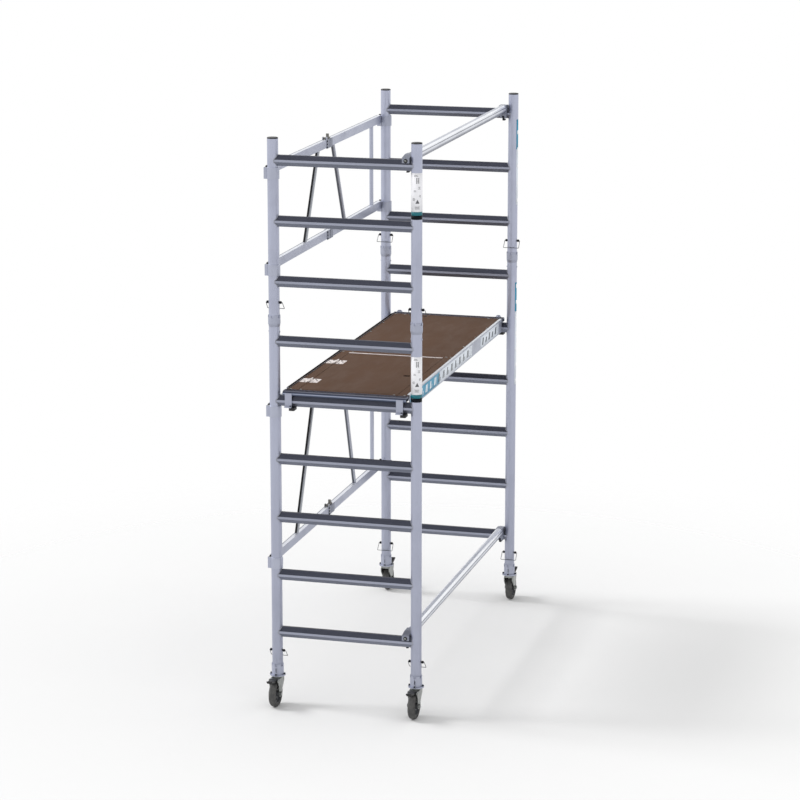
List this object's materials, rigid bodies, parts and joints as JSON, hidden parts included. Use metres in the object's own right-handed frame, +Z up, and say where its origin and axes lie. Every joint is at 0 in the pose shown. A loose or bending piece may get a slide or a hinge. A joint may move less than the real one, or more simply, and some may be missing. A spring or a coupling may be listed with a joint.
{
  "type": "mobile tower scaffold",
  "caption": "Narrow folding mobile access tower: ladder end frames on braked casters, folding side frames, round braces and a plywood deck with a hatch.",
  "frame": {"origin": "on the floor at the centre of the rectangle of the four posts", "axes": "+Z up, +X to the right along the rungs, +Y to the rear along the deck, away from the hatch end"},
  "size_m": [0.7671, 2.184, 2.705],
  "materials": {
    "post_aluminium": "satin extruded tube",
    "rung_aluminium": "ribbed extrusion, dull",
    "cast_aluminium": "fine sand-cast",
    "deck_aluminium": "satin extruded channel",
    "brace_aluminium": "bright drawn tube",
    "zinc_steel": "zinc plated",
    "wire_steel": "drawn wire",
    "dark_steel": "blackened",
    "black_plastic": "moulded, fine grain",
    "plywood": "phenolic film with fine mesh",
    "tyre_rubber": "grey-black solid rubber",
    "hub_plastic": "dark moulded nylon"
  },
  "bodies": {
    "tower": {"lower_posts": "post_aluminium", "upper_posts": "post_aluminium", "lower_rungs": "rung_aluminium", "upper_rungs": "rung_aluminium", "joint_spigots": "cast_aluminium", "spigot_rivets": "zinc_steel", "post_lock_pins": "dark_steel", "post_caps": "black_plastic", "caster_sockets": "cast_aluminium", "socket_screws": "dark_steel", "deck_side_beams": "deck_aluminium", "deck_end_beams": "rung_aluminium", "deck_cross_members": "deck_aluminium", "deck_panel": "plywood", "hatch_frame": "deck_aluminium", "deck_hooks": "cast_aluminium", "hatch_hinge_plates": "zinc_steel", "brace_tubes": "brace_aluminium", "brace_claws": "cast_aluminium", "rear_post_sleeves": "cast_aluminium"},
    "hatch": {"hatch_lid": "plywood", "hatch_hinge_straps": "zinc_steel"},
    "wind_lock_front_left": {"wind_lock_front_left": "black_plastic"},
    "wind_lock_rear_left": {"wind_lock_rear_left": "black_plastic"},
    "wind_lock_front_right": {"wind_lock_front_right": "black_plastic"},
    "wind_lock_rear_right": {"wind_lock_rear_right": "black_plastic"},
    "brace_trigger_lower_front": {"brace_trigger_lower_front": "dark_steel"},
    "brace_trigger_lower_rear": {"brace_trigger_lower_rear": "dark_steel"},
    "brace_trigger_upper_front": {"brace_trigger_upper_front": "dark_steel"},
    "brace_trigger_upper_rear": {"brace_trigger_upper_rear": "dark_steel"},
    "caster_bail_front_left": {"caster_bail_front_left": "wire_steel"},
    "caster_bail_front_right": {"caster_bail_front_right": "wire_steel"},
    "caster_bail_rear_left": {"caster_bail_rear_left": "wire_steel"},
    "caster_bail_rear_right": {"caster_bail_rear_right": "wire_steel"},
    "joint_bail_front_left": {"joint_bail_front_left": "wire_steel"},
    "joint_bail_front_right": {"joint_bail_front_right": "wire_steel"},
    "joint_bail_rear_left": {"joint_bail_rear_left": "wire_steel"},
    "joint_bail_rear_right": {"joint_bail_rear_right": "wire_steel"},
    "caster_front_left": {"fork_front_left": "zinc_steel"},
    "wheel_front_left": {"tyre_front_left": "tyre_rubber", "hub_front_left": "hub_plastic"},
    "pedal_front_left": {"brake_pedal_front_left": "black_plastic"},
    "caster_front_right": {"fork_front_right": "zinc_steel"},
    "wheel_front_right": {"tyre_front_right": "tyre_rubber", "hub_front_right": "hub_plastic"},
    "pedal_front_right": {"brake_pedal_front_right": "black_plastic"},
    "caster_rear_left": {"fork_rear_left": "zinc_steel"},
    "wheel_rear_left": {"tyre_rear_left": "tyre_rubber", "hub_rear_left": "hub_plastic"},
    "pedal_rear_left": {"brake_pedal_rear_left": "black_plastic"},
    "caster_rear_right": {"fork_rear_right": "zinc_steel"},
    "wheel_rear_right": {"tyre_rear_right": "tyre_rubber", "hub_rear_right": "hub_plastic"},
    "pedal_rear_right": {"brake_pedal_rear_right": "black_plastic"},
    "side_frame_lower_front": {"side_frame_lower_front": "post_aluminium"},
    "side_frame_lower_rear": {"side_frame_lower_rear": "post_aluminium"},
    "fold_latch_lower": {"fold_latch_lower": "zinc_steel"},
    "side_frame_upper_front": {"side_frame_upper_front": "post_aluminium"},
    "side_frame_upper_rear": {"side_frame_upper_rear": "post_aluminium"},
    "fold_latch_upper": {"fold_latch_upper": "zinc_steel"}
  },
  "joints": [
    {"name": "hatch_open", "type": "hinge", "parent": "tower", "child": "hatch", "pos_m": [-0.237, -0.505, 1.5334], "axis": [0, -1, 0], "range_deg": [0, 95]},
    {"name": "wind_lock_front_left_turn", "type": "hinge", "parent": "tower", "child": "wind_lock_front_left", "pos_m": [-0.2555, -0.993, 1.45], "axis": [0, 0, -1], "range_deg": [0, 90]},
    {"name": "wind_lock_rear_left_turn", "type": "hinge", "parent": "tower", "child": "wind_lock_rear_left", "pos_m": [-0.2555, 0.993, 1.45], "axis": [0, 0, 1], "range_deg": [0, 90]},
    {"name": "wind_lock_front_right_turn", "type": "hinge", "parent": "tower", "child": "wind_lock_front_right", "pos_m": [0.2775, -0.993, 1.45], "axis": [0, 0, -1], "range_deg": [0, 90]},
    {"name": "wind_lock_rear_right_turn", "type": "hinge", "parent": "tower", "child": "wind_lock_rear_right", "pos_m": [0.2775, 0.993, 1.45], "axis": [0, 0, 1], "range_deg": [0, 90]},
    {"name": "brace_trigger_lower_front_swing", "type": "hinge", "parent": "tower", "child": "brace_trigger_lower_front", "pos_m": [0.2955, -0.9255, 0.345], "axis": [1, 0, 0], "range_deg": [0, 40], "stiffness_Nm_per_rad": 0.05, "springref_deg": -28.65},
    {"name": "brace_trigger_lower_rear_swing", "type": "hinge", "parent": "tower", "child": "brace_trigger_lower_rear", "pos_m": [0.2955, 0.9255, 0.345], "axis": [-1, 0, 0], "range_deg": [0, 40], "stiffness_Nm_per_rad": 0.05, "springref_deg": -28.65},
    {"name": "brace_trigger_upper_front_swing", "type": "hinge", "parent": "tower", "child": "brace_trigger_upper_front", "pos_m": [0.2955, -0.9255, 2.585], "axis": [1, 0, 0], "range_deg": [0, 40], "stiffness_Nm_per_rad": 0.05, "springref_deg": -28.65},
    {"name": "brace_trigger_upper_rear_swing", "type": "hinge", "parent": "tower", "child": "brace_trigger_upper_rear", "pos_m": [0.2955, 0.9255, 2.585], "axis": [-1, 0, 0], "range_deg": [0, 40], "stiffness_Nm_per_rad": 0.05, "springref_deg": -28.65},
    {"name": "caster_bail_front_left_swing", "type": "hinge", "parent": "tower", "child": "caster_bail_front_left", "pos_m": [-0.3395, -0.958, 0.266], "axis": [1, 0, 0], "range_deg": [0, 100]},
    {"name": "caster_bail_front_right_swing", "type": "hinge", "parent": "tower", "child": "caster_bail_front_right", "pos_m": [0.3395, -0.958, 0.266], "axis": [1, 0, 0], "range_deg": [0, 100]},
    {"name": "caster_bail_rear_left_swing", "type": "hinge", "parent": "tower", "child": "caster_bail_rear_left", "pos_m": [-0.3395, 0.958, 0.266], "axis": [-1, 0, 0], "range_deg": [0, 100]},
    {"name": "caster_bail_rear_right_swing", "type": "hinge", "parent": "tower", "child": "caster_bail_rear_right", "pos_m": [0.3395, 0.958, 0.266], "axis": [-1, 0, 0], "range_deg": [0, 100]},
    {"name": "joint_bail_front_left_swing", "type": "hinge", "parent": "tower", "child": "joint_bail_front_left", "pos_m": [-0.3395, -0.958, 1.942], "axis": [1, 0, 0], "range_deg": [0, 100]},
    {"name": "joint_bail_front_right_swing", "type": "hinge", "parent": "tower", "child": "joint_bail_front_right", "pos_m": [0.3395, -0.958, 1.942], "axis": [1, 0, 0], "range_deg": [0, 100]},
    {"name": "joint_bail_rear_left_swing", "type": "hinge", "parent": "tower", "child": "joint_bail_rear_left", "pos_m": [-0.3395, 0.958, 1.942], "axis": [-1, 0, 0], "range_deg": [0, 100]},
    {"name": "joint_bail_rear_right_swing", "type": "hinge", "parent": "tower", "child": "joint_bail_rear_right", "pos_m": [0.3395, 0.958, 1.942], "axis": [-1, 0, 0], "range_deg": [0, 100]},
    {"name": "swivel_front_left", "type": "hinge", "parent": "tower", "child": "caster_front_left", "pos_m": [-0.3395, -0.958, 0.136], "axis": [0, 0, 1], "continuous": true},
    {"name": "roll_front_left", "type": "hinge", "parent": "caster_front_left", "child": "wheel_front_left", "pos_m": [-0.3395, -0.996, 0.0625], "axis": [1, 0, 0], "continuous": true},
    {"name": "brake_release_front_left", "type": "hinge", "parent": "caster_front_left", "child": "pedal_front_left", "pos_m": [-0.3395, -1.02, 0.131], "axis": [-1, 0, 0], "range_deg": [0, 20]},
    {"name": "swivel_front_right", "type": "hinge", "parent": "tower", "child": "caster_front_right", "pos_m": [0.3395, -0.958, 0.136], "axis": [0, 0, 1], "continuous": true},
    {"name": "roll_front_right", "type": "hinge", "parent": "caster_front_right", "child": "wheel_front_right", "pos_m": [0.3395, -0.996, 0.0625], "axis": [1, 0, 0], "continuous": true},
    {"name": "brake_release_front_right", "type": "hinge", "parent": "caster_front_right", "child": "pedal_front_right", "pos_m": [0.3395, -1.02, 0.131], "axis": [-1, 0, 0], "range_deg": [0, 20]},
    {"name": "swivel_rear_left", "type": "hinge", "parent": "tower", "child": "caster_rear_left", "pos_m": [-0.3395, 0.958, 0.136], "axis": [0, 0, 1], "continuous": true},
    {"name": "roll_rear_left", "type": "hinge", "parent": "caster_rear_left", "child": "wheel_rear_left", "pos_m": [-0.3395, 0.996, 0.0625], "axis": [1, 0, 0], "continuous": true},
    {"name": "brake_release_rear_left", "type": "hinge", "parent": "caster_rear_left", "child": "pedal_rear_left", "pos_m": [-0.3395, 1.02, 0.131], "axis": [1, 0, 0], "range_deg": [0, 20]},
    {"name": "swivel_rear_right", "type": "hinge", "parent": "tower", "child": "caster_rear_right", "pos_m": [0.3395, 0.958, 0.136], "axis": [0, 0, 1], "continuous": true},
    {"name": "roll_rear_right", "type": "hinge", "parent": "caster_rear_right", "child": "wheel_rear_right", "pos_m": [0.3395, 0.996, 0.0625], "axis": [1, 0, 0], "continuous": true},
    {"name": "brake_release_rear_right", "type": "hinge", "parent": "caster_rear_right", "child": "pedal_rear_right", "pos_m": [0.3395, 1.02, 0.131], "axis": [1, 0, 0], "range_deg": [0, 20]},
    {"name": "side_frame_lower_swing", "type": "hinge", "parent": "tower", "child": "side_frame_lower_front", "pos_m": [-0.3395, -0.958, 1.0745], "axis": [0, 0, -1], "range_deg": [0, 80]},
    {"name": "side_frame_lower_fold", "type": "hinge", "parent": "side_frame_lower_front", "child": "side_frame_lower_rear", "pos_m": [-0.38075, 0, 1.0745], "axis": [0, 0, 1], "range_deg": [0, 160]},
    {"name": "fold_latch_lower_lift", "type": "hinge", "parent": "side_frame_lower_front", "child": "fold_latch_lower", "pos_m": [-0.367, -0.046, 0.736], "axis": [1, 0, 0], "range_deg": [0, 60]},
    {"name": "side_frame_upper_swing", "type": "hinge", "parent": "tower", "child": "side_frame_upper_front", "pos_m": [-0.3395, -0.958, 2.329], "axis": [0, 0, -1], "range_deg": [0, 80]},
    {"name": "side_frame_upper_fold", "type": "hinge", "parent": "side_frame_upper_front", "child": "side_frame_upper_rear", "pos_m": [-0.38075, 0, 2.329], "axis": [0, 0, 1], "range_deg": [0, 160]},
    {"name": "fold_latch_upper_lift", "type": "hinge", "parent": "side_frame_upper_front", "child": "fold_latch_upper", "pos_m": [-0.367, -0.046, 2.58], "axis": [1, 0, 0], "range_deg": [0, 60]}
  ],
  "couplings": [
    {"joint": "side_frame_lower_fold", "follows": "side_frame_lower_swing", "ratio": 2},
    {"joint": "side_frame_upper_fold", "follows": "side_frame_upper_swing", "ratio": 2}
  ]
}
